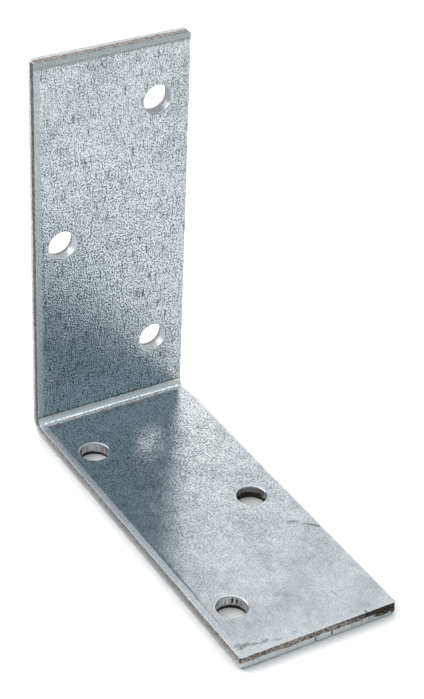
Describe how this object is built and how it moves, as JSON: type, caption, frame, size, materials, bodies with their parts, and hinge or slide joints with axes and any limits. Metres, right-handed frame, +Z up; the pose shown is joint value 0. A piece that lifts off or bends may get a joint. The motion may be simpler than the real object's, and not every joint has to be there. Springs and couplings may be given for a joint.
{
  "type": "corner brace bracket",
  "caption": "Galvanised steel strip folded square, with staggered screw holes in both legs, for bracing the corner of a timber joint.",
  "frame": {"origin": "centre of the bounding box in X and Y, on the plane that the base leg lies on", "axes": "+X across the strip, +Y from the base leg's free end towards the upright, +Z up along the upright"},
  "size_m": [0.0254, 0.0636, 0.0635],
  "materials": {
    "galvanised_sheet": "satin galvanised zinc, bare sheared steel on the cut edges"
  },
  "bodies": {
    "root": {"bracket": "galvanised_sheet"}
  },
  "joints": []
}
